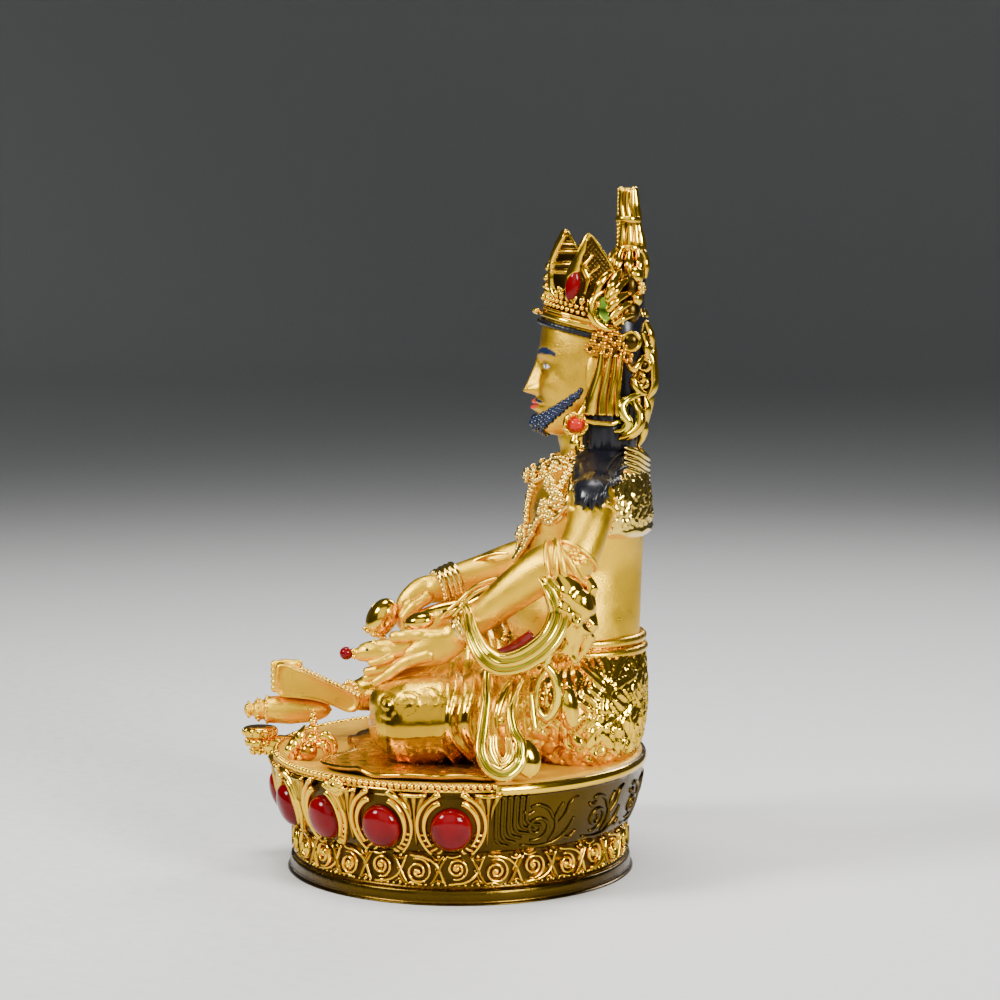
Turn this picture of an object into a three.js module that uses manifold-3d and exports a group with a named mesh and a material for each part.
// A gilded seated bodhisattva of wealth on an oval plinth, about 200 mm tall.
// Millimetres, +Z up. The figure faces -Y, its left hand side is +X.
// The plinth and the figure are two castings; the red stones are set into them.
// Everything is laid out about the centre of the plinth's underside, and the finished
// group is shifted so that its bounding box stands on the origin.

import * as THREE from 'three';
import { mergeVertices } from 'three/addons/utils/BufferGeometryUtils.js';
import Module from 'manifold-3d';

const wasm = await Module();
wasm.setup();

// Plinth: half widths of the top rim, and the heights of its bands
const RIM_X = 64;
const RIM_Y = 55;
const PLINTH_TOP = 34.5;
const FOOT_TOP = 5;
const FRIEZE_TOP = 14.6;

// Petals with their set stones run round the front half of the plinth
const PETALS_EACH_SIDE = 4;
const PETAL_STEP = 22;            // degrees between stones
const STONE_Z = 22;
const STONE = { w: 5.7, h: 6.2, bulge: 4, back: 0.6, sides: 10, steps: 3 };
const CROWN_STONE = { w: 2.1, h: 4.4, bulge: 1.6, back: 0.5, sides: 8, steps: 2 };
const EAR_STONE = { w: 1.8, h: 1.8, bulge: 1.3, back: 0.5, sides: 7, steps: 2 };
const SETTING_GAP = 0.3;
const FRIEZE_FIELDS = 24;

// Figure: main levels and sizes
const SEAT_Y = 34;                // the body's axis is set back on the plinth
const WAIST_Z = 66;
const HEAD = { y: 38, z: 147 };
const EAR_RING = { x: 16.2, y: 33.6, z: 131.3 };
const TOP_Z = 199.4;
const LEFT = 1;
const RIGHT = -1;

// The crown's band is a tilted ring; its leaves stand upright round it
const CROWN = { y: 38.6, z: 161.3, rx: 14.6, ry: 14.4, tilt: 14.5 };
const CROWN_LEAVES = [
  { angle: 87, radius: 15, foot: 166.2, peak: 185.6 },
  { angle: 55, radius: 13.7, foot: 168.2, peak: 186.8 },
];
const LEAF_THICK = 2.2;
const CROWN_STONE_AT = { angle: 66, radius: 14.7, z: 171.2, lean: 13 };

// Faces left on each casting once it is thinned
const PLINTH_FACES = 2000;
const FIGURE_FACES = 6100;

const colours = {
  satin: { color: 0xd9a441, roughness: 0.45, metalness: 1 },
  bright: { color: 0xe6b84a, roughness: 0.15, metalness: 1 },
  red: { color: 0xb3081c, roughness: 0.08, metalness: 0 },
};

const rad = THREE.MathUtils.degToRad;
const vec = (x, y, z) => new THREE.Vector3(x, y, z);

// Solids: closed geometries go to manifold solids and back

function solid(geometry) {
  const bare = geometry.index ? geometry.toNonIndexed() : geometry.clone();
  bare.deleteAttribute('normal');
  bare.deleteAttribute('uv');
  const merged = mergeVertices(bare, 1e-4);
  const p = merged.attributes.position.array;
  const t = Array.from(merged.index.array);
  const faces = [];
  let volume = 0;
  const a = vec(), b = vec(), c = vec();
  for (let i = 0; i < t.length; i += 3) {
    if (t[i] === t[i + 1] || t[i + 1] === t[i + 2] || t[i] === t[i + 2]) continue;
    a.fromArray(p, 3 * t[i]);
    b.fromArray(p, 3 * t[i + 1]);
    c.fromArray(p, 3 * t[i + 2]);
    volume += a.dot(b.cross(c));
    faces.push(t[i], t[i + 1], t[i + 2]);
  }
  if (volume < 0) faces.reverse();
  return new wasm.Manifold(new wasm.Mesh({
    numProp: 3, vertProperties: new Float32Array(p), triVerts: new Uint32Array(faces),
  }));
}

function geometryOf(manifold) {
  const { points, all } = meshLists(manifold);
  const g = new THREE.BufferGeometry();
  g.setAttribute('position', new THREE.Float32BufferAttribute(points.flatMap((p) => [p.x, p.y, p.z]), 3));
  g.setIndex(mainShell(points, all).flat());
  return g;
}

function meshLists(manifold) {
  const { vertProperties, triVerts } = manifold.getMesh();
  const points = [];
  for (let i = 0; i < vertProperties.length; i += 3) points.push(vec(0, 0, 0).fromArray(vertProperties, i));
  const all = [];
  for (let i = 0; i < triVerts.length; i += 3) all.push([triVerts[i], triVerts[i + 1], triVerts[i + 2]]);
  return { points, all };
}

const unite = (solids) => solids.reduce((sum, s) => sum.add(s));

// The faces of the largest shell of a mesh, so that no crumb or sealed pocket is left
function mainShell(points, faces) {
  const root = points.map((_, i) => i);
  const find = (i) => {
    while (root[i] !== i) i = root[i] = root[root[i]];
    return i;
  };
  for (const [a, b, c] of faces) {
    root[find(a)] = find(b);
    root[find(b)] = find(c);
  }
  const volumes = new Map();
  for (const [a, b, c] of faces) {
    const v = points[a].dot(points[b].clone().cross(points[c]));
    volumes.set(find(a), (volumes.get(find(a)) ?? 0) + v);
  }
  const main = [...volumes].sort((p, q) => q[1] - p[1])[0][0];
  return faces.filter(([a]) => find(a) === main);
}

// A heap of [cost, ...] entries, the cheapest on top
class Heap {
  items = [];

  push(item) {
    const h = this.items;
    let i = h.push(item) - 1;
    while (i > 0) {
      const up = (i - 1) >> 1;
      if (h[up][0] <= h[i][0]) break;
      [h[up], h[i]] = [h[i], h[up]];
      i = up;
    }
  }

  pop() {
    const h = this.items;
    const top = h[0];
    const last = h.pop();
    if (h.length) {
      h[0] = last;
      let i = 0;
      for (;;) {
        let low = i;
        for (const c of [2 * i + 1, 2 * i + 2]) if (c < h.length && h[c][0] < h[low][0]) low = c;
        if (low === i) break;
        [h[low], h[i]] = [h[i], h[low]];
        i = low;
      }
    }
    return top;
  }
}

// Thins a solid to about `target` faces. Each edge is weighed by how far its points would leave
// the planes of the faces round them, and the cheapest edges fold away first.
// Points on one of the `flats`, which are heights, stay on it.
function thin(manifold, target, flats) {
  const { points, all } = meshLists(manifold);
  const faces = mainShell(points, all);
  const flatOf = points.map((p) => flats.findIndex((level) => Math.abs(p.z - level) < 1e-3));
  const around = points.map(() => new Set());
  const quadric = points.map(() => new Float64Array(10));
  const normalOf = (a, b, c) => b.clone().sub(a).cross(c.clone().sub(a));
  faces.forEach((f, i) => {
    const n = normalOf(...f.map((v) => points[v]));
    const area = n.length() / 2;
    if (area > 0) n.normalize();
    const d = -n.dot(points[f[0]]);
    const q = [
      n.x * n.x, n.x * n.y, n.x * n.z, n.x * d, n.y * n.y, n.y * n.z, n.y * d,
      n.z * n.z, n.z * d, d * d,
    ];
    for (const v of f) {
      around[v].add(i);
      q.forEach((value, k) => { quadric[v][k] += value * area; });
    }
  });
  const error = (a, b, p) => {
    const q = quadric[a].map((value, k) => value + quadric[b][k]);
    return q[0] * p.x * p.x + 2 * q[1] * p.x * p.y + 2 * q[2] * p.x * p.z + 2 * q[3] * p.x + q[4] * p.y * p.y
      + 2 * q[5] * p.y * p.z + 2 * q[6] * p.y + q[7] * p.z * p.z + 2 * q[8] * p.z + q[9];
  };
  const stamp = points.map(() => 0);
  const heap = new Heap();
  const weigh = (a, b) => {
    const places = [];
    if (flatOf[a] === flatOf[b]) places.push(points[a], points[b], points[a].clone().lerp(points[b], 0.5));
    else if (flatOf[a] < 0) places.push(points[b]);
    else if (flatOf[b] < 0) places.push(points[a]);
    let best = null;
    for (const place of places) {
      const cost = error(a, b, place);
      if (!best || cost < best[0]) best = [cost, place];
    }
    if (best) {
      const spread = 1e-3 * points[a].distanceToSquared(points[b]);
      heap.push([best[0] + spread, a, b, stamp[a], stamp[b], best[1]]);
    }
  };
  const neighbours = (v) => {
    const out = new Set();
    for (const f of around[v]) for (const w of faces[f]) if (w !== v) out.add(w);
    return out;
  };
  const turnsOver = (v, other, place) => {
    for (const f of around[v]) {
      if (faces[f].includes(other)) continue;
      const before = normalOf(...faces[f].map((w) => points[w]));
      const corners = faces[f].map((w) => (w === v ? place : points[w]));
      const after = normalOf(...corners);
      const [p, q, r] = corners;
      const longest = Math.max(p.distanceToSquared(q), q.distanceToSquared(r), r.distanceToSquared(p));
      if (after.dot(before) <= 0.25 * after.length() * before.length()) return true;
      if (after.length() < 0.02 * longest) return true;
    }
    return false;
  };
  points.forEach((_, v) => {
    for (const w of neighbours(v)) if (v < w) weigh(v, w);
  });
  let left = faces.length;
  while (left > target && heap.items.length) {
    const [, a, b, sa, sb, place] = heap.pop();
    if (stamp[a] !== sa || stamp[b] !== sb) continue;
    const nb = neighbours(b);
    const shared = [...neighbours(a)].filter((w) => nb.has(w));
    if (shared.length !== 2 || turnsOver(a, b, place) || turnsOver(b, a, place)) continue;
    for (const f of [...around[b]]) {
      if (faces[f].includes(a)) {
        for (const w of faces[f]) around[w].delete(f);
        left -= 1;
      } else {
        faces[f] = faces[f].map((w) => (w === b ? a : w));
        around[a].add(f);
      }
    }
    around[b].clear();
    if (flatOf[a] < 0) flatOf[a] = flatOf[b];
    points[a] = place.clone();
    quadric[a] = quadric[a].map((value, k) => value + quadric[b][k]);
    stamp[b] += 1;
    stamp[a] += 1;
    for (const w of neighbours(a)) weigh(a, w);
  }
  const kept = new Set(around.flatMap((set) => [...set]));
  const g = new THREE.BufferGeometry();
  g.setAttribute('position', new THREE.Float32BufferAttribute(points.flatMap((p) => [p.x, p.y, p.z]), 3));
  g.setIndex([...kept].flatMap((f) => faces[f]));
  return solid(g);
}

// Rings of equal length become one closed skin, with a point at each end or joined end to end
function skin(rings, endless = false) {
  const n = rings[0].length;
  const rows = rings.length;
  const points = rings.flat();
  const index = [];
  for (let i = 0; i < (endless ? rows : rows - 1); i++) {
    for (let j = 0; j < n; j++) {
      const a = i * n + j, b = i * n + (j + 1) % n;
      const c = ((i + 1) % rows) * n + j, d = ((i + 1) % rows) * n + (j + 1) % n;
      index.push(a, b, d, a, d, c);
    }
  }
  const cap = (row, flip) => {
    const centre = rings[row].reduce((s, q) => s.add(q), vec(0, 0, 0)).divideScalar(n);
    const at = points.push(centre) - 1;
    for (let j = 0; j < n; j++) {
      const a = row * n + j, b = row * n + (j + 1) % n;
      index.push(...(flip ? [at, b, a] : [at, a, b]));
    }
  };
  if (!endless) {
    cap(0, true);
    cap(rows - 1, false);
  }
  const g = new THREE.BufferGeometry().setFromPoints(points);
  g.setIndex(index);
  return solid(g);
}

// A round limb through knots [x, y, z, radius]; squash flattens it across the given direction
function limb(knots, sides = 10, steps = 3, squash = 1, flatDir = vec(1, 0, 0)) {
  const curve = new THREE.CatmullRomCurve3(knots.map((k) => vec(k[0], k[1], k[2])), false, 'centripetal');
  const count = (knots.length - 1) * steps;
  const rings = [];
  for (let i = 0; i <= count; i++) {
    const t = i / count;
    const f = t * (knots.length - 1);
    const k = Math.min(Math.floor(f), knots.length - 2);
    const w = f - k;
    const r = knots[k][3] * (1 - w) + knots[k + 1][3] * w;
    const along = curve.getTangent(t);
    const u = flatDir.clone().addScaledVector(along, -flatDir.dot(along)).normalize();
    const v = along.clone().cross(u);
    const centre = curve.getPoint(t);
    rings.push(ring(centre, u, v, r * squash, r, sides));
  }
  const closeEnd = (at, dir) => {
    const first = rings[at];
    const centre = first.reduce((s, q) => s.add(q), vec(0, 0, 0)).divideScalar(sides);
    const r = first[0].distanceTo(centre);
    return first.map((q) => centre.clone().lerp(q, 0.62).addScaledVector(dir, r * 0.75));
  };
  const start = closeEnd(0, curve.getTangent(0).negate());
  const end = closeEnd(rings.length - 1, curve.getTangent(1));
  return skin([start, ...rings, end]);
}

function ring(centre, u, v, ru, rv, sides) {
  const out = [];
  for (let j = 0; j < sides; j++) {
    const a = (2 * Math.PI * j) / sides;
    out.push(centre.clone().addScaledVector(u, ru * Math.cos(a)).addScaledVector(v, rv * Math.sin(a)));
  }
  return out;
}

function ball(x, y, z, rx, ry = rx, rz = rx, around = 10, down = 7, turn = [0, 0, 0]) {
  const g = new THREE.SphereGeometry(1, around, down);
  g.rotateX(Math.PI / 2);
  g.scale(rx, ry, rz);
  g.rotateX(rad(turn[0]));
  g.rotateY(rad(turn[1]));
  g.rotateZ(rad(turn[2]));
  g.translate(x, y, z);
  return solid(g);
}

// A hoop round the axis `along`, with its own oval half widths
function hoop(centre, along, ru, rv, tube, around = 16, sides = 6) {
  const g = new THREE.TorusGeometry(1, tube, sides, around);
  const pos = g.attributes.position;
  for (let i = 0; i < pos.count; i++) {
    const x = pos.getX(i), y = pos.getY(i), z = pos.getZ(i);
    const r = Math.hypot(x, y);
    const off = r - 1;
    pos.setXYZ(i, (x / r) * (ru + off), (y / r) * (rv + off), z);
  }
  g.applyQuaternion(new THREE.Quaternion().setFromUnitVectors(vec(0, 0, 1), along.clone().normalize()));
  g.translate(centre.x, centre.y, centre.z);
  return solid(g);
}

// A folded band of cloth swept along knots [x, y, z, width]: its width lies across the path,
// its face looks along `out`, and `folds` pleats run the length of it
function band(knots, depth, folds, out, steps = 3) {
  const curve = new THREE.CatmullRomCurve3(knots.map((k) => vec(k[0], k[1], k[2])), false, 'centripetal');
  const count = (knots.length - 1) * steps;
  const rings = [];
  for (let i = 0; i <= count; i++) {
    const t = i / count;
    const f = t * (knots.length - 1);
    const k = Math.min(Math.floor(f), knots.length - 2);
    const width = knots[k][3] * (1 - (f - k)) + knots[k + 1][3] * (f - k);
    const along = curve.getTangent(t);
    const across = along.clone().cross(out).normalize();
    const face = across.clone().cross(along).normalize();
    const centre = curve.getPoint(t);
    const at = (s, d) => centre.clone().addScaledVector(across, (s * width) / 2).addScaledVector(face, d);
    const section = [];
    for (let j = 0; j <= 2 * folds; j++) {
      const s = -1 + j / folds;
      const crown = depth * (0.5 + 0.35 * (1 - s * s));
      section.push(at(s, crown - (j % 2 ? 0 : depth * 0.3)));
    }
    section.push(at(0.7, -depth * 0.5), at(-0.7, -depth * 0.5));
    rings.push(section);
  }
  return skin(rings);
}

// Plinth

// Widens a round shape, turned at the plinth's depth, to the plinth's oval
function toOval(geometry) {
  const pos = geometry.attributes.position;
  for (let i = 0; i < pos.count; i++) {
    const r = Math.hypot(pos.getX(i), pos.getY(i));
    if (r > 1e-6) pos.setX(i, (pos.getX(i) * (r + RIM_X - RIM_Y)) / r);
  }
  return geometry;
}

const PLINTH_PROFILE = [
  [0, 0], [48.6, 0], [49.9, 0.8], [50.3, 2.5], [49.9, 4.2], [48.5, FOOT_TOP],
  [48.3, FRIEZE_TOP - 0.4], [49.4, FRIEZE_TOP + 0.4],
  [50.2, 16.5], [51.6, 20], [53, 24.5], [53.9, 29.5], [54.1, 31], [55, 32], [55.2, 33.2],
  [54.6, PLINTH_TOP], [0, PLINTH_TOP],
];

// The wall's radius, at the plinth's depth, for a height on the bowl
function wallRadius(z) {
  for (let i = 2; i < PLINTH_PROFILE.length - 2; i++) {
    const [r0, z0] = PLINTH_PROFILE[i], [r1, z1] = PLINTH_PROFILE[i + 1];
    if (z >= z0 && z <= z1) return r0 + ((r1 - r0) * (z - z0)) / (z1 - z0);
  }
  return RIM_Y;
}

// A point on the wall at an angle from the front, with its outward direction and sideways direction
function wallFrame(angle, z) {
  const at = (degrees, height) => {
    const r = wallRadius(height);
    return vec(Math.sin(rad(degrees)) * (r + RIM_X - RIM_Y), -Math.cos(rad(degrees)) * r, height);
  };
  const side = at(angle + 1, z).sub(at(angle - 1, z)).normalize();
  const up = at(angle, z + 2).sub(at(angle, z - 2)).normalize();
  const out = side.clone().cross(up).normalize();
  return { point: at(angle, z), side, up: out.clone().cross(side).normalize(), out };
}

// The matrix from a shape's own axes (x sideways, y up, z outwards) onto the wall
function onWall({ point, side, up, out }) {
  return new THREE.Matrix4().makeBasis(side, up, out).setPosition(point);
}

// A set stone: a dome on local +Z with a flat back that sits a little inside its setting
function stoneGeometry({ w, h, bulge, back, sides, steps }) {
  const outline = [[0, -back], [1, -back]];
  for (let i = 0; i <= steps; i++) {
    const a = (Math.PI / 2) * (i / steps);
    outline.push([i < steps ? Math.cos(a) ** 0.8 : 0, bulge * Math.sin(a)]);
  }
  const g = new THREE.LatheGeometry(outline.map(([r, lift]) => new THREE.Vector2(r, lift)), sides);
  g.rotateX(Math.PI / 2);
  g.scale(w, h, 1);
  return g;
}

// The hollow that a stone sits in, with a gap all round it
function pocketGeometry({ w, h, back, sides }) {
  const depth = 10;
  const g = new THREE.CylinderGeometry(1, 1, depth, sides);
  g.rotateX(Math.PI / 2);
  g.scale(w + SETTING_GAP, h + SETTING_GAP, 1);
  g.translate(0, 0, depth / 2 - back - SETTING_GAP);
  return g;
}

// A rib laid over a surface: its spots are places on it, each with the way out of the surface
function rib(spots, half, lift, endless = false) {
  const rings = spots.map(({ point, out }, i) => {
    const before = spots[endless ? (i + spots.length - 1) % spots.length : Math.max(i - 1, 0)].point;
    const after = spots[endless ? (i + 1) % spots.length : Math.min(i + 1, spots.length - 1)].point;
    const across = after.clone().sub(before).normalize().cross(out).normalize();
    const at = (s, d) => point.clone().addScaledVector(across, s * half).addScaledVector(out, d);
    return [at(-1.1, -0.8), at(1.1, -0.8), at(0.7, lift * 0.8), at(0, lift), at(-0.7, lift * 0.8)];
  });
  return skin(rings, endless);
}

// A rib on the wall. Its path is in millimetres sideways and up from a point on the wall
function wallRib(angle, z, path, half, lift, endless = false) {
  const perDegree = wallFrame(angle - 0.5, z).point.distanceTo(wallFrame(angle + 0.5, z).point);
  const spots = path.map(([aside, rise]) => wallFrame(angle + aside / perDegree, z + rise));
  return rib(spots, half, lift, endless);
}

function arc(w, h, from, to, steps) {
  const path = [];
  for (let i = 0; i <= steps; i++) {
    const a = rad(from + ((to - from) * i) / steps);
    path.push([w * Math.cos(a), h * Math.sin(a)]);
  }
  return path;
}

// The two leaf halves round a stone, which leave a cleft above it
function petal(angle) {
  const arch = arc(STONE.w + 3.9, STONE.h + 3.6, -40, 76, 8);
  const inner = arc(STONE.w + 1.6, STONE.h + 1.7, -30, 70, 6);
  const parts = [];
  for (const side of [-1, 1]) {
    const facing = (path) => path.map(([aside, rise]) => [side * aside, rise]);
    parts.push(wallRib(angle, STONE_Z, facing(arch), 0.8, 1.4));
    parts.push(wallRib(angle, STONE_Z, facing(inner), 0.9, 1.6));
  }
  return parts;
}

// Fans between the petals, and the bars that end their row
function drops() {
  const parts = [];
  for (let k = -PETALS_EACH_SIDE - 0.5; k <= PETALS_EACH_SIDE + 0.5; k++) {
    parts.push(wallRib(k * PETAL_STEP, STONE_Z, [[0, 9.6], [0, 6], [0, 2]], 1.4, 1.3));
  }
  const end = (PETALS_EACH_SIDE + 0.5) * PETAL_STEP;
  for (const side of [-1, 1]) {
    for (let k = 1; k <= 3; k++) {
      const bar = [[0, 7.5], [0, 1], [side * 1.2, -3.5 + k], [side * 4, -5 + k]];
      parts.push(wallRib(side * (end + 2.6 * k), STONE_Z, bar, 0.8, 1));
    }
  }
  return parts;
}

function stoneAngles() {
  const angles = [];
  for (let k = -PETALS_EACH_SIDE; k <= PETALS_EACH_SIDE; k++) angles.push(k * PETAL_STEP);
  return angles;
}

// The carved band of the waist: one running wave with a boss in each hollow
function frieze() {
  const parts = [];
  const middle = (FOOT_TOP + FRIEZE_TOP) / 2;
  const step = 360 / FRIEZE_FIELDS;
  for (let k = 0; k < FRIEZE_FIELDS; k++) {
    const flip = k % 2 ? 1 : -1;
    const wave = [[-7, -3.6 * flip], [-2.6, -2.6 * flip], [2.6, 2.6 * flip], [7, 3.6 * flip]];
    parts.push(wallRib(k * step, middle, wave, 0.9, 1.3));
    const boss = new THREE.CylinderGeometry(1.3, 2.5, 1.9, 6);
    boss.rotateX(Math.PI / 2);
    parts.push(solid(boss.applyMatrix4(onWall(wallFrame((k + 0.5) * step, middle - 0.7 * flip)))));
  }
  return parts;
}

// A shape turned on its long axis: its profile is [radius, distance along the axis]
function turned(profile, sides) {
  return new THREE.LatheGeometry(profile.map(([r, z]) => new THREE.Vector2(r, z)), sides);
}

// The small lotus at the plinth's front edge, in three tiers, that carries the shell's spire
const LOTUS = { x: -16, y: -60.3, top: 38.2 };
const LOTUS_PROFILE = [
  [0, -8.2], [2.3, -7.8], [2.8, -6.4], [2.2, -5.2], [4, -4.6], [4.3, -3.4], [3.2, -2.6],
  [4.9, -1.9], [5, -0.8], [4.2, 0], [0, 0],
];
function footLotus() {
  const g = turned(LOTUS_PROFILE, 14);
  g.rotateX(Math.PI / 2);
  g.translate(LOTUS.x, LOTUS.y, LOTUS.top);
  const { x, y } = LOTUS;
  return [solid(g), limb([[x, y + 12, 31, 4], [x, y + 5, 32, 3.6], [x, y, 33.4, 2.4]], 8, 2)];
}

// A flaming jewel that stands on the top, before the left knee: a round jewel at the foot, a tower
// behind it, three fat leaves on one side and a leaf curled over on the other
const FLAME = { x: 20, y: -42.4 };
const FLAME_LEAVES = [
  [[0, 0, 0.6, 1.5], [0, 0, 6.4, 2], [0, 0, 11.2, 1.4], [0, 0, 14.3, 0.7]],
  [[0, -5.2, 0.6, 1.6], [0.5, -5.6, 4.2, 1.8], [0, -4.6, 7.6, 0.6]],
  [[0.6, -3, 1.6, 1.5], [0.8, -3.6, 6.4, 1.5], [0, -2.4, 9.8, 0.5]],
  [[0, 1, 5, 1.3], [0.4, 3.7, 6.6, 1.5], [0.4, 5.6, 4.6, 1.4], [0.6, 5.4, 0.6, 1.3]],
];
function flamingJewel() {
  const at = ([x, y, z, r]) => [FLAME.x + x, FLAME.y + y, PLINTH_TOP + z, r];
  const jewel = ball(FLAME.x + 2.2, FLAME.y - 1.2, PLINTH_TOP + 2.5, 2, 2.3, 2.3, 8, 6);
  return [jewel, ...FLAME_LEAVES.map((knots) => limb(knots.map(at), 6, 2))];
}

function plinth() {
  const bowl = turned(PLINTH_PROFILE, 56);
  bowl.rotateX(Math.PI / 2);
  const whole = unite([
    solid(toOval(bowl)), ...frieze(), ...stoneAngles().flatMap(petal), ...drops(), ...footLotus(),
    ...flamingJewel(),
  ]);
  let body = thin(whole, PLINTH_FACES, [0, PLINTH_TOP]);
  for (const place of stonePlaces) body = body.subtract(solid(pocketGeometry(STONE).applyMatrix4(place)));
  return body;
}

// Figure

// Half widths of the body at each height: [z, y of the middle, half width, half depth]
const TORSO = [
  [56, 35, 25, 19], [66, 34.4, 23.5, 18.6], [74, 33.6, 23.4, 19.4], [82, 34.2, 22.4, 19], [90, 35.6, 22, 18],
  [98, 37, 24.5, 17.2], [106, 37.5, 28, 16.8], [112.5, 38.2, 27, 16.4], [117.5, 38.6, 20, 14],
  [121.5, 38.5, 11.5, 9.3], [127, 37, 9, 8.5], [134, 37.5, 9, 9],
];

function oval(z, y, rx, ry, sides) {
  return ring(vec(0, y, z), vec(1, 0, 0), vec(0, 1, 0), rx, ry, sides);
}

// A place on the body at an angle from the front and a height
function bodyFrame(angle, z) {
  const i = Math.max(1, TORSO.findIndex(([level]) => level >= z));
  const w = (z - TORSO[i - 1][0]) / (TORSO[i][0] - TORSO[i - 1][0]);
  const [, y, rx, ry] = TORSO[i].map((value, k) => TORSO[i - 1][k] * (1 - w) + value * w);
  const a = rad(angle);
  const out = vec(Math.sin(a) / rx, -Math.cos(a) / ry, 0).normalize();
  return { point: vec(Math.sin(a) * rx, y - Math.cos(a) * ry, z), out };
}

// Level ovals, one over the other, as one skin
function stack(rows, sides) {
  return skin(rows.map(([z, y, rx, ry]) => oval(z, y, rx, ry, sides)));
}

// The shaped panel over the back and shoulders
const BACK_PANEL = [
  [98.5, 44.5, 20, 10.5], [100, 43.5, 25, 12.8], [107, 42.8, 29.5, 13.3], [113, 42.5, 28.5, 12.8],
  [118.5, 42.5, 21, 11], [122.5, 42, 13, 10.5],
];

// The head: ovals from chin to crown, with the nose, lips, chin, brows and ears laid on
const HEAD_ROWS = [
  [126.8, 33, 3.4, 3.8], [128.6, 31.8, 6.6, 7.4], [131.5, 33.2, 8.9, 10.3], [135, 35.4, 10.9, 12.4],
  [140, 37.2, 12.6, 14], [147, 38.4, 13.5, 15], [153, 38.8, 13.7, 15.5], [160, 39.6, 13, 15.2],
  [166, 40.4, 10.8, 13],
];
function head() {
  const { y, z } = HEAD;
  const nose = limb([
    [0, y - 14.6, z + 3, 1.2], [0, y - 15.6, z - 2, 1.7], [0, y - 16.4, z - 5.6, 2.2],
  ], 6, 2);
  const lips = ball(0, y - 12.6, z - 10.8, 3.8, 2.4, 1.9, 8, 5);
  const chin = ball(0, y - 10.2, z - 16.6, 4.2, 4, 2.8, 8, 5);
  const brow = (s) => limb([
    [s * 1.6, y - 14.6, z + 3.8, 0.9], [s * 5, y - 13.9, z + 5.2, 1.1], [s * 8.8, y - 11.2, z + 4.4, 0.8],
  ], 5, 2);
  const ear = (s) => ball(s * 13.6, y + 0.8, z - 1.4, 1.6, 2.8, 5.8, 8, 6);
  return [stack(HEAD_ROWS, 18), nose, lips, chin, ear(1), ear(-1), brow(1), brow(-1)];
}

// Half widths of a crown leaf at shares of its height
const LEAF_OUTLINE = [
  [0, 5.2], [0.08, 6.6], [0.2, 7.6], [0.34, 7.6], [0.5, 6.9], [0.65, 5.2], [0.76, 3.8], [0.89, 2.1],
  [1, 0.6],
];

// One pointed leaf: an upright plate bent round the crown
function crownLeaf({ angle, radius, foot, peak }, s) {
  const outline = new THREE.Shape();
  const edge = [
    ...LEAF_OUTLINE.map(([t, half]) => [half, t]),
    ...LEAF_OUTLINE.map(([t, half]) => [-half, t]).reverse(),
  ];
  edge.forEach(([x, t], i) => {
    const z = foot + t * (peak - foot);
    if (i) outline.lineTo(x, z);
    else outline.moveTo(x, z);
  });
  outline.closePath();
  const g = new THREE.ExtrudeGeometry(outline, { depth: LEAF_THICK, bevelEnabled: false });
  const pos = g.attributes.position;
  for (let i = 0; i < pos.count; i++) {
    const a = s * (rad(angle) + pos.getX(i) / radius);
    const r = radius + 0.4 - pos.getZ(i);
    pos.setXYZ(i, Math.sin(a) * r, CROWN.y - Math.cos(a) * r, pos.getY(i));
  }
  return solid(g);
}

// The place of the stone in the front half of a side leaf: its dome looks outwards
function crownStonePlace(s) {
  const { angle, radius, z, lean } = CROWN_STONE_AT;
  const a = rad(angle);
  const out = vec(s * Math.sin(a), -Math.cos(a), 0);
  const back = vec(s * Math.cos(a), Math.sin(a), 0);
  const up = vec(0, 0, Math.cos(rad(lean))).addScaledVector(back, Math.sin(rad(lean)));
  const aside = up.clone().cross(out);
  const place = new THREE.Matrix4().makeBasis(aside, up, out);
  return place.setPosition(out.x * radius, CROWN.y + out.y * radius, z);
}

// The band: heights over the tilted ring, and how far out of it the band stands
const BAND_ROWS = [
  [-3.2, -0.6], [-2.6, 0.9], [-1.4, 0.5], [-0.6, 0.7], [0.8, 0.7], [3.4, 0.6], [4.8, 0.9], [6.4, -0.2],
];
const CROWN_CORE = [[164, 34, 9, 9], [172, 34.4, 8.6, 8.6], [177, 34.4, 6.4, 7], [178.4, 34.6, 4, 4.6]];
const FRONT_STACK = [[0, 26.6, 168, 2.3], [0, 26.4, 173, 2.2], [0, 26.8, 177.8, 1.6]];
function crown() {
  const place = new THREE.Matrix4().makeTranslation(0, CROWN.y, CROWN.z);
  place.multiply(new THREE.Matrix4().makeRotationX(rad(-CROWN.tilt)));
  const browBand = skin(BAND_ROWS.map(([z, grow]) => (
    ring(vec(0, 0, z), vec(1, 0, 0), vec(0, 1, 0), CROWN.rx + grow, CROWN.ry + grow, 22)
      .map((q) => q.applyMatrix4(place))
  )));
  const leaves = [LEFT, RIGHT].flatMap((s) => CROWN_LEAVES.map((leaf) => crownLeaf(leaf, s)));
  return [browBand, ...leaves, stack(CROWN_CORE, 12), limb(FRONT_STACK, 7, 2)];
}

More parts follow.
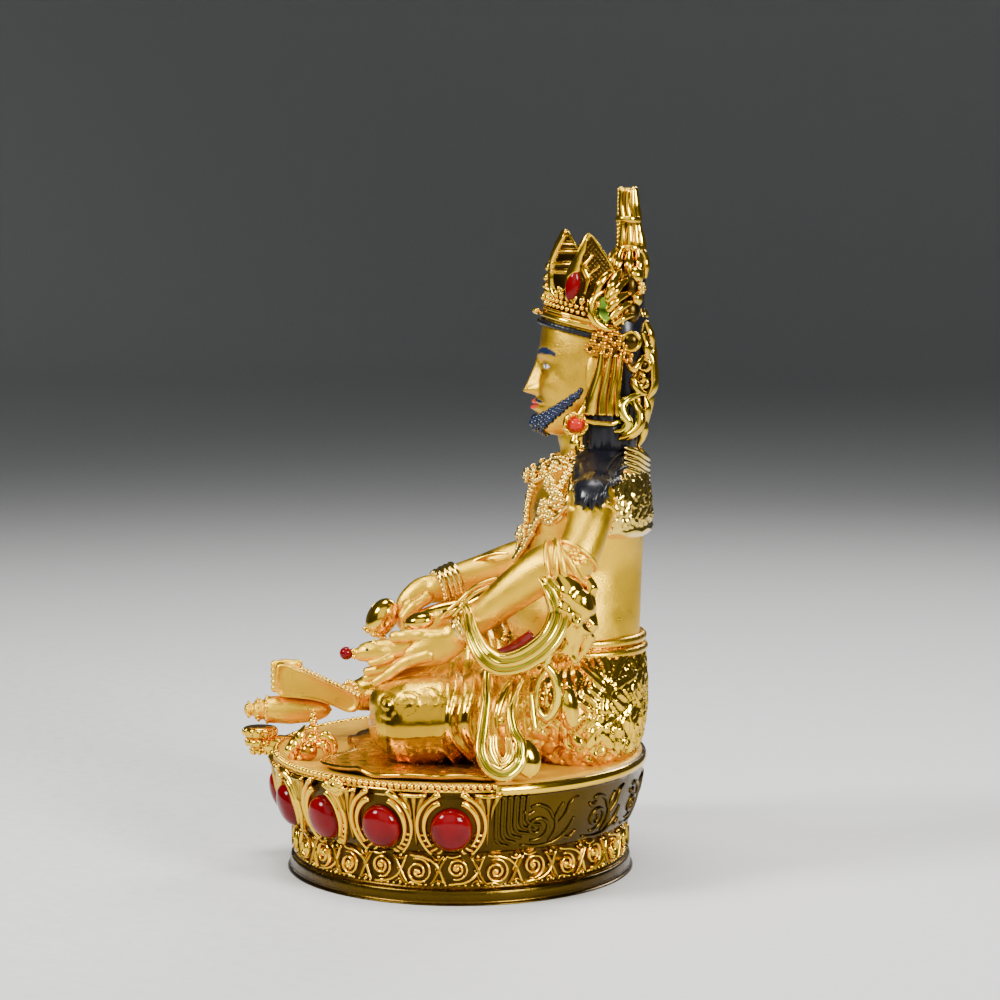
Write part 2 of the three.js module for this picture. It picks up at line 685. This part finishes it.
// Hair: a cap, a high knot with leaves round it and a tower on top, and locks down the back
const KNOT_ROWS = [
  [160, 47.6, 9.4, 6.6], [167, 48.4, 10, 6.2], [172.6, 48.9, 9.6, 6.2], [176.8, 49, 9, 6.4],
  [179.8, 49.2, 6.6, 5.6], [182.4, 49.4, 4.2, 4.3], [189, 49.1, 3.5, 3.8], [190.2, 49, 3.9, 4],
  [191.4, 49, 3.4, 3.6], [TOP_Z, 48.5, 2.9, 3.1],
];
const BACK_HAIR = [
  [118, 49.6, 9, 4.4], [126, 49.8, 11, 4.8], [136, 49.8, 12.4, 5.2], [146, 49.6, 13.2, 6],
  [156, 47.6, 13, 8],
];
function hair() {
  const parts = [ball(0, 42, 157, 13.6, 13.4, 11.5, 16, 9), stack(KNOT_ROWS, 14), stack(BACK_HAIR, 12)];
  for (let k = -2; k <= 2; k++) {
    parts.push(limb([
      [k * 4, 53.4, 157, 1.6], [k * 4.2, 55.2, 148, 2.1], [k * 4, 55, 140, 1.9], [k * 3.6, 54, 130, 1.5],
    ], 6, 2));
  }
  return parts;
}

// What hangs at each ear. Knots of bands are [x, y, z, width], of limbs [x, y, z, radius]
const BOW_ARC = [
  [15, 41.6, 169.8, 1], [16.3, 38.2, 166.6, 1.3], [16.4, 38.8, 161.4, 1.3], [15.2, 43.6, 158.8, 1],
];
const BOW_FAN = [
  [14, 42.6, 160.6, 4], [15.6, 44, 164.6, 7], [14.6, 45.6, 170, 9.4], [12.4, 46.4, 175.2, 6],
];
const BOW_BALLS = [
  [8, 50.9, 173.8, 3, 2.4, 2.9], [9, 50.9, 167.4, 2.8, 2.1, 2.4], [8, 49.4, 170.6, 4, 2.6, 4.6],
  [9.4, 49.2, 163.6, 3.4, 3, 4],
];
const EAR_RIBBONS = [
  [15, 43.8, 152.4, 7], [16, 43.2, 146, 8], [16, 42, 139, 9.6], [15.6, 41.6, 132.8, 10.6],
];
const EAR_CURL = [
  [13.4, 51.6, 139.6, 1], [15.4, 49.6, 136.6, 1.9], [16.2, 49.8, 132.6, 2.2], [15.8, 48.4, 129.4, 2],
  [14.8, 46, 128.6, 1.1],
];
const TEMPLE_BALLS = [
  [15.6, 40.1, 155.8, 1.6, 2.6, 2.6], [15, 44.7, 156.2, 1.6, 2.4, 2.4], [15.4, 42.4, 152.6, 1.6, 2.4, 2],
  [14, 49.4, 155.3, 1.8, 2.9, 2.9], [13.4, 48.3, 150.9, 1.6, 2, 2],
];
const BACK_TONGUES = [
  [[7, 54, 158, 1.2], [7.6, 56, 152, 1.8], [7.4, 56, 145, 1.7], [7, 56.4, 140, 0.9]],
  [[9.6, 53.4, 138, 1.2], [9, 54.2, 133, 1.7], [8.4, 53.8, 128.6, 0.8]],
  [[12, 53.2, 149, 1], [12.6, 52.4, 145, 1.4], [11.8, 53, 141.4, 0.9]],
];
const EAR_DROP = [[15.6, 33.6, 128, 1.5], [15.2, 33.3, 125.6, 1.6], [15, 33.6, 122.8, 0.8]];
const EAR_HOOK = [[13, 37.6, 137.4, 2], [14.6, 35.4, 134.2, 2]];
function sideOrnament(s) {
  const out = vec(s, 0, 0);
  const side = (knots) => knots.map(([x, ...rest]) => [s * x, ...rest]);
  const ring = new THREE.CylinderGeometry(3.2, 3.8, 2.4, 12);
  ring.rotateZ((-s * Math.PI) / 2);
  ring.translate(s * (EAR_RING.x - 1.2), EAR_RING.y, EAR_RING.z);
  return [
    solid(ring),
    limb(side(BOW_ARC), 8, 3),
    band(side(BOW_FAN), 3.6, 4, out, 2),
    ...side([...BOW_BALLS, ...TEMPLE_BALLS]).map((place) => ball(...place, 8, 6)),
    band(side(EAR_RIBBONS), 2.6, 4, out, 2),
    ...[EAR_CURL, EAR_DROP, EAR_HOOK, ...BACK_TONGUES].map((knots) => limb(side(knots), 6, 2)),
  ];
}

function earStonePlace(s) {
  const place = new THREE.Matrix4().makeRotationY(s * Math.PI / 2);
  return place.setPosition(s * EAR_RING.x, EAR_RING.y, EAR_RING.z);
}

// Locks of hair that sweep over each shoulder, forward and down
const LOCK = [
  [11, 44, 125.6, 2], [20, 38, 122.4, 2.4], [27.6, 35.2, 118.2, 2.4], [33, 33.6, 110.4, 1],
];
const LOCK_STEP = [[0.4, 1.4, 0], [0, 2.6, -0.2], [0, 2.7, -0.4], [0, 2.3, 1.2]];
function shoulderLocks(s) {
  const parts = [];
  for (let k = 0; k < 4; k++) {
    parts.push(limb(LOCK.map(([x, y, z, r], i) => {
      const [dx, dy, dz] = LOCK_STEP[i];
      return [s * (x + k * dx), y + k * dy, z + k * dz, r];
    }), 6, 2));
  }
  return parts;
}

// The arms from shoulder to wrist: [x, y, z, radius]
const ARM = {
  [LEFT]: [
    [28, 38, 110, 7.6], [33.4, 36.6, 103.5, 6.2], [38, 33.8, 97, 6.4], [39.6, 30.2, 93.4, 7],
    [39, 24.6, 92.4, 6.8], [37.6, 17, 87, 6], [35.4, 10.4, 81.4, 5.2], [33, 4.8, 76.6, 4.4],
    [31, 0.6, 73.4, 3.9],
  ],
  [RIGHT]: [
    [-28, 38.5, 110, 7.6], [-35, 36, 101, 6.3], [-40, 29, 89, 6.8], [-38.4, 16, 84, 7],
    [-34, 1, 80.4, 5.6], [-31, -8, 77.6, 4.5],
  ],
};

// Armlets and bracelets: [share of the arm's length, radius, half thickness]
const ARM_RINGS = {
  [LEFT]: [
    [0.25, 6.5, 1], [0.35, 7.2, 1.1], [0.42, 7.4, 1.1], [0.9, 4.5, 0.9], [0.94, 4.4, 0.9], [0.98, 4.3, 0.8],
  ],
  [RIGHT]: [[0.3, 6.3, 1.3], [0.36, 6.2, 0.9], [0.88, 5.4, 1], [0.92, 5.1, 1], [0.96, 4.8, 0.9]],
};

function arm(s) {
  const path = ARM[s].map(([x, y, z]) => vec(x, y, z));
  const curve = new THREE.CatmullRomCurve3(path, false, 'centripetal');
  const rings = ARM_RINGS[s].map(([t, r, tube]) => (
    hoop(curve.getPoint(t), curve.getTangent(t), r, r, tube, 14, 5)
  ));
  return [limb(ARM[s], 12, 3), ...rings];
}

// Left hand: open, thumb up, fingers forward and down under the mongoose
const LEFT_PALM = [[31, 1, 73.6, 3.9], [30.4, -3.8, 69.8, 5.2], [29.8, -9, 67.4, 5], [29.4, -13, 65.8, 3.6]];
const LEFT_THUMB = [[30.2, -3, 72, 2.3], [29.2, -11, 72, 2.1], [28, -18.6, 71.4, 1.6]];
const LEFT_FINGERS = [
  [[30.6, -8.5, 66.6, 2.2], [29.6, -16.5, 63.4, 2], [28, -24, 58.2, 1.2]],
  [[28.4, -11, 65.6, 2.1], [26.6, -19, 62.8, 1.9], [24.4, -26.6, 60.8, 1.2]],
  [[26.4, -10.6, 64.2, 2], [24.6, -19, 60.8, 1.8], [22.6, -26.8, 58.6, 1.2]],
  [[24.8, -9.6, 63, 1.8], [23.4, -15.4, 60.6, 1.6], [22, -20.4, 58.8, 1.3]],
];
function leftHand() {
  const fingers = LEFT_FINGERS.map((knots) => limb(knots, 6, 2));
  return [limb(LEFT_PALM, 8, 3, 0.55), limb(LEFT_THUMB, 7, 2), ...fingers];
}

// Right hand: hangs open over the right knee and offers a jewel
const RIGHT_PALM = [
  [-31, -8, 78, 4.2], [-30.6, -12, 77, 4.5], [-30, -15.8, 73.6, 4], [-29.8, -17.2, 70.6, 3.2],
];
const RIGHT_THUMB = [[-26.8, -10.4, 75.6, 2.1], [-25.6, -14.4, 72.8, 2], [-25.2, -17.4, 69.6, 1.4]];
const JEWEL = { at: [-28, -24, 69.2], half: [4.5, 4.5, 6.2], turn: [-26, 0, 0] };
function rightHand() {
  const parts = [limb(RIGHT_PALM, 8, 3, 0.75), limb(RIGHT_THUMB, 6, 2)];
  for (let k = 0; k < 4; k++) {
    parts.push(limb([
      [-32.6 + k * 2.1, -16.6 + k * 0.3, 73.4, 2], [-32.2 + k * 2, -18.2 + k * 0.3, 70, 1.8],
      [-31.6 + k * 1.9, -18.4 + k * 0.4, 66.6, 1.3],
    ], 6, 2));
  }
  parts.push(ball(...JEWEL.at, ...JEWEL.half, 12, 9, JEWEL.turn));
  return parts;
}

// The mongoose lies over the left hand with a jewel at its mouth
const MONGOOSE = [
  [25, -30.2, 66.2, 1.5], [25, -26.2, 66.6, 3], [25, -22, 66.9, 3.4], [24.4, -15, 69.2, 3.9],
  [24, -9.8, 72.6, 4.2], [24.2, -6, 75.4, 3.6], [25.4, 0, 79, 1.9], [27.4, 7, 83, 1.6], [30, 13, 86.6, 1.1],
];
const MONGOOSE_RUMP = [26, -11, 75.6, 3.6, 4.6, 2.7];
const MOUTH_JEWEL = [25, -32.5, 66.2, 1.9, 1.9, 1.9];
const MONGOOSE_EARS = [[26.8, -24.4, 69.2, 0.8, 0.9, 1.1], [23.2, -24.4, 69.2, 0.8, 0.9, 1.1]];
function mongoose() {
  return [
    limb(MONGOOSE, 8, 2),
    ball(...MONGOOSE_RUMP, 8, 6),
    ball(...MOUTH_JEWEL, 8, 6),
    ...MONGOOSE_EARS.map((ear) => ball(...ear, 6, 4)),
  ];
}

// Legs under the skirt, the left one folded, the right one stretched to the shell
const HIPS = [
  [PLINTH_TOP, SEAT_Y + 1, 31, 16], [38, SEAT_Y + 0.6, 34.5, 18.5], [46, SEAT_Y + 0.4, 35.5, 20.2],
  [54, SEAT_Y + 0.4, 33.5, 20.6], [61, SEAT_Y + 0.6, 28.5, 20], [WAIST_Z, SEAT_Y + 0.8, 24, 18.8],
];
const LEFT_THIGH = [[17, 34, 50.5, 15], [27, 18, 50.4, 14.6], [33.5, 2, 49, 13.2], [32.5, -15, 47.8, 12.9]];
const LEFT_KNEE = [[24, -18.8, 52.2, 5.6], [32, -20.2, 52.8, 5.9], [39, -16.6, 52.2, 5.4]];
const LEFT_SHIN = [[30, -13, 46, 11.6], [16, -17, 44.6, 9.6], [2, -15, 43.6, 7], [-4, -13.6, 43, 5]];
const RIGHT_THIGH = [[-17, 34, 50.5, 15], [-28, 18, 52, 14.4], [-36, 2, 54.5, 12.2], [-36.5, -7, 54, 11]];
const RIGHT_SHIN = [
  [-36, -7, 52.5, 10.2], [-29.5, -19, 49.6, 8], [-23, -26, 47.6, 6], [-18.6, -32, 46.8, 4.2],
  [-17.4, -36, 47.4, 3.6],
];
const LAP = [[-14, 10, 44, 12], [0, 10, 44, 12], [14, 10, 44, 12]];
const ANKLET = { at: vec(-18.2, -33, 47), along: vec(0.5, -0.85, -0.05), r: 4.1, tube: 1 };
function legs() {
  return [
    stack(HIPS, 22), limb(LEFT_THIGH, 14, 3), limb(LEFT_KNEE, 10, 2), limb(LEFT_SHIN, 12, 3),
    limb(RIGHT_THIGH, 14, 3),
    limb(RIGHT_SHIN, 12, 3), limb(LAP, 12, 2, 1, vec(0, 1, 0)),
    hoop(ANKLET.at, ANKLET.along, ANKLET.r, ANKLET.r, ANKLET.tube, 14, 5),
  ];
}

// A bare foot lying on its outer edge, sole to one side: heel, sole and five toes
function foot(heel, toe, sole, size) {
  const along = toe.clone().sub(heel).normalize();
  const up = along.clone().cross(sole).normalize();
  const knot = (f, u, s, r) => {
    const q = heel.clone().lerp(toe, f);
    q.addScaledVector(up, u * size).addScaledVector(sole, s * size);
    return [q.x, q.y, q.z, r * size];
  };
  const parts = [
    limb([
      knot(0.02, 0, 0, 4.3), knot(0.35, 0.2, -0.4, 4.3), knot(0.68, 0.2, 0, 5.2), knot(0.8, 0.2, 0.1, 4.8),
    ], 10, 2, 0.62, sole),
  ];
  for (let k = 0; k < 5; k++) {
    const big = k === 0 ? 1.35 : 1;
    const u = 4.0 - 2.1 * k - (k > 0 ? 0.5 : 0);
    parts.push(limb([knot(0.78, u, 0.2, 1.25 * big), knot(0.99 - 0.03 * k, u * 1.04, 0.2, 1.2 * big)], 6, 2));
  }
  return parts;
}

// The right foot hangs and shows its sole: the outline [y, z] of a slab, and its toes behind it
const SOLE = [
  [-55.3, 56.6], [-53.6, 57.4], [-50.5, 56.4], [-47, 55.2], [-40, 51.8], [-34, 48.8], [-30.4, 46.6],
  [-30.6, 43.8], [-33.4, 42.6], [-38, 44.4], [-43.8, 46.2], [-50, 47], [-54.6, 47.8], [-55.9, 51.5],
];
const SOLE_FROM = -21;
const SOLE_THICK = 8.2;
const TOE_STEP = 1.9;
function sole() {
  const outline = new THREE.Shape(SOLE.map(([y, z]) => new THREE.Vector2(y, z)));
  const g = new THREE.ExtrudeGeometry(outline, { depth: SOLE_THICK, bevelEnabled: false });
  g.applyMatrix4(new THREE.Matrix4().makeBasis(vec(0, 1, 0), vec(0, 0, 1), vec(1, 0, 0)));
  g.translate(SOLE_FROM, 0, 0);
  const parts = [solid(g)];
  for (let k = 0; k < 5; k++) {
    const z = 48.7 + TOE_STEP * k;
    parts.push(limb([[-19.6, -49, z, 1.5], [-20, -55.4, z, 1.2]], 6, 1));
  }
  return parts;
}

function feet() {
  return [
    ...sole(),
    ...foot(vec(2, -17, 47.2), vec(-16.5, -15.4, 44.4), vec(0.1, -0.25, 0.96).normalize(), 0.9),
  ];
}

// The shell under the foot, with its spire forward
const SHELL = { x: -17.5, y: -65.2, z: 42.9, wide: 1.15 };
const SHELL_PROFILE = [
  [0, 0], [1.4, 0.4], [2.2, 1.6], [1.9, 2.8], [2.9, 3.5], [3.2, 4.7], [2.9, 5.8], [3.7, 6.6], [4.1, 8.6],
  [4.3, 14], [4, 18], [3.3, 22], [2.1, 25], [0, 26.4],
];
function shell() {
  const g = turned(SHELL_PROFILE, 14);
  g.scale(SHELL.wide, 1, 1);
  g.translate(SHELL.x, SHELL.y, SHELL.z);
  return solid(g);
}

// The skirt's hem, spread over the front of the plinth's top with a waved edge.
// It follows the rim at both sides and is drawn in between the knees
const HEM = { x: 60.4, y: 51.8, drawn: 0.36, from: 48, over: 24, thick: 2.3, start: -198, end: 18 };
function spreadHem() {
  const outline = new THREE.Shape();
  const steps = 64;
  for (let i = 0; i <= steps; i++) {
    const degrees = HEM.start + ((HEM.end - HEM.start) * i) / steps;
    const a = rad(degrees);
    const wave = 0.7 * Math.sin(i * 1.3);
    const steep = Math.abs(Math.abs(degrees + 90) - 90);
    const drawn = 1 - HEM.drawn * THREE.MathUtils.smoothstep(steep, HEM.from, HEM.from + HEM.over);
    const x = Math.cos(a) * (HEM.x + wave) * drawn;
    const y = Math.sin(a) * (HEM.y + wave) * drawn;
    if (i === 0) outline.moveTo(x, y);
    else outline.lineTo(x, y);
  }
  outline.lineTo(30, 34);
  outline.lineTo(-30, 34);
  outline.closePath();
  const g = new THREE.ExtrudeGeometry(outline, { depth: HEM.thick, bevelEnabled: false });
  return solid(g.translate(0, 0, PLINTH_TOP));
}

// Two rolls round the waist and the boss that closes them: [z, half width, half depth, half thickness]
const BELT_ROLLS = [[68, 22.6, 18.4, 2.1], [64.6, 24.2, 19.2, 1.6]];
const BELT_BOSS = [0, 15.6, 66.5, 4.6, 2.6, 4.6];
function belt() {
  const rolls = BELT_ROLLS.map(([z, rx, ry, tube]) => (
    hoop(vec(0, SEAT_Y + 0.8, z), vec(0, 0, 1), rx, ry, tube, 26, 6)
  ));
  return [...rolls, ball(...BELT_BOSS, 10, 6)];
}

// Necklaces, as knots (angle, z) on the torso from the middle outwards: a broad collar, a strap from each
// shoulder to the middle, rosettes [angle, z, size] where it leaves the shoulder, and a pendant
const COLLAR = [[0, 115], [12, 115.6], [30, 117.6], [50, 120], [80, 123]];
const STRAP = [[0, 92.4], [12, 94], [26, 98], [40, 103.5], [50, 109], [58, 114], [62, 118.5]];
const CHEST_BANDS = [[COLLAR, 1.7, 1.8], [STRAP, 2.4, 1.5]];
const BAND_STEPS = 14;
const ROSETTES = [[48, 114.6, 2.6], [60, 110.6, 3], [55, 105.4, 2.6], [12, 98.2, 2.2]];
const PENDANT = [0, 97.4, 3];
function necklaces() {
  const parts = [];
  const boss = ([angle, z, size]) => {
    const { point } = bodyFrame(angle, z);
    parts.push(ball(point.x, point.y, point.z, size, size * 0.8, size, 8, 6));
  };
  for (const s of [LEFT, RIGHT]) {
    for (const [knots, half, lift] of CHEST_BANDS) {
      const line = new THREE.SplineCurve(knots.map(([a, z]) => new THREE.Vector2(a, z)));
      parts.push(rib(line.getPoints(BAND_STEPS).map(({ x, y }) => bodyFrame(s * x, y)), half, lift));
    }
    ROSETTES.forEach(([angle, z, size]) => boss([s * angle, z, size]));
  }
  boss(PENDANT);
  return parts;
}

// The long scarf on each side: a loop under the forearm with a thin edge over it, folds behind
// the elbow, and two looped ends that fall to the plinth's edge. Knots are [x, y, z, width]
const SCARF_LOOP = [
  [34, 2.6, 79.4, 3], [40, 3.8, 74.5, 4.8], [45, 6.6, 69.5, 6.2], [48, 11.1, 66.5, 7.2],
  [49, 16.2, 67, 7.4], [49, 21.5, 69.8, 7.4], [48, 26.3, 74.5, 7], [47, 28.5, 80.4, 7],
  [46.6, 26.4, 87.6, 5.6],
];
const SCARF_EDGE = [[33, -3.4, 79, 1.4], [33, 1, 83, 2], [32, 4.6, 86.3, 2], [30, 10.3, 87.8, 2]];
const SCARF_BACK = [
  [44.6, 27.4, 92, 3.4], [45.4, 32, 87.6, 7], [44.6, 34.4, 81, 9], [43.6, 34.2, 74.6, 8],
  [42, 32.6, 67.6, 6],
];
const SCARF_SMALL = [
  [46, 28.3, 75, 2], [47, 26, 70.4, 2.6], [47, 25.4, 65, 2.8], [47, 27.7, 59.6, 2.8],
  [46.5, 27.5, 54.7, 3.2], [46, 24.7, 50.6, 3], [46, 22, 53.4, 2.8], [45.6, 22, 60, 2.2],
];
const SCARF_BIG = [
  [46, 7.9, 61.7, 2.6], [50, 8, 56.7, 3.6], [54, 7.2, 50.2, 4.2], [58, 6.8, 44.2, 4.8],
  [61, 8.8, 39.8, 5.2], [63, 12.8, 38.4, 5.6], [63, 16.8, 41, 5.4], [60, 17.6, 46, 4.6],
  [56, 15.6, 52, 3.6], [51, 16.7, 59.1, 2],
];
const SCARF_BALLS = [
  [43, 30.9, 53.2, 3.6, 3, 7], [54, 20.6, 43.4, 4.6, 4, 9], [55.6, 13.6, 47, 3, 4.4, 8],
];
function scarf(s) {
  const out = vec(s, 0, 0);
  const side = (knots) => knots.map(([x, ...rest]) => [s * x, ...rest]);
  return [
    band(side(SCARF_LOOP), 3.2, 3, out, 2), band(side(SCARF_EDGE), 1.8, 1, out, 2),
    band(side(SCARF_BACK), 5, 3, out, 2), band(side(SCARF_SMALL), 3, 1, out, 2),
    band(side(SCARF_BIG), 3.8, 3, out, 2),
    ...side(SCARF_BALLS).map((place) => ball(...place, 10, 7)),
  ];
}

function figure() {
  const sides = [LEFT, RIGHT].flatMap((s) => [
    ...sideOrnament(s), ...shoulderLocks(s), ...arm(s), ...scarf(s),
  ]);
  const body = unite([
    stack(TORSO, 20), stack(BACK_PANEL, 18), ...head(), ...crown(), ...hair(), ...sides,
    ...leftHand(), ...rightHand(), ...mongoose(), ...legs(), ...feet(), shell(), spreadHem(),
    ...belt(), ...necklaces(),
  ]);
  const below = new THREE.BoxGeometry(150, 150, 40);
  below.translate(0, 0, PLINTH_TOP - 20);
  let thinned = thin(body.subtract(solid(below)), FIGURE_FACES, [PLINTH_TOP]);
  for (const s of [LEFT, RIGHT]) {
    thinned = thinned.subtract(solid(pocketGeometry(CROWN_STONE).applyMatrix4(crownStonePlace(s))));
    thinned = thinned.subtract(solid(pocketGeometry(EAR_STONE).applyMatrix4(earStonePlace(s))));
  }
  return thinned;
}

// Put the pieces together

function meshOf(name, manifold, finish) {
  const mesh = new THREE.Mesh(geometryOf(manifold), new THREE.MeshStandardMaterial(finish));
  mesh.name = name;
  return mesh;
}

const casting = new THREE.Group();
const stonePlaces = stoneAngles().map((angle) => onWall(wallFrame(angle, STONE_Z)));

function addStone(name, shape, place) {
  casting.add(meshOf(name, solid(stoneGeometry(shape).applyMatrix4(place)), colours.red));
}

casting.add(meshOf('plinth', plinth(), colours.bright));
casting.add(meshOf('figure', figure(), colours.satin));
stonePlaces.forEach((place, k) => addStone(`plinth_stone_${k + 1}`, STONE, place));
addStone('crown_stone_left', CROWN_STONE, crownStonePlace(LEFT));
addStone('crown_stone_right', CROWN_STONE, crownStonePlace(RIGHT));
addStone('ear_stone_left', EAR_STONE, earStonePlace(LEFT));
addStone('ear_stone_right', EAR_STONE, earStonePlace(RIGHT));

// The bounding box is centred over the origin and stands on it
const box = new THREE.Box3().setFromObject(casting);
casting.position.set(-(box.min.x + box.max.x) / 2, -(box.min.y + box.max.y) / 2, -box.min.z);
const statue = new THREE.Group();
statue.add(casting);

export default statue;
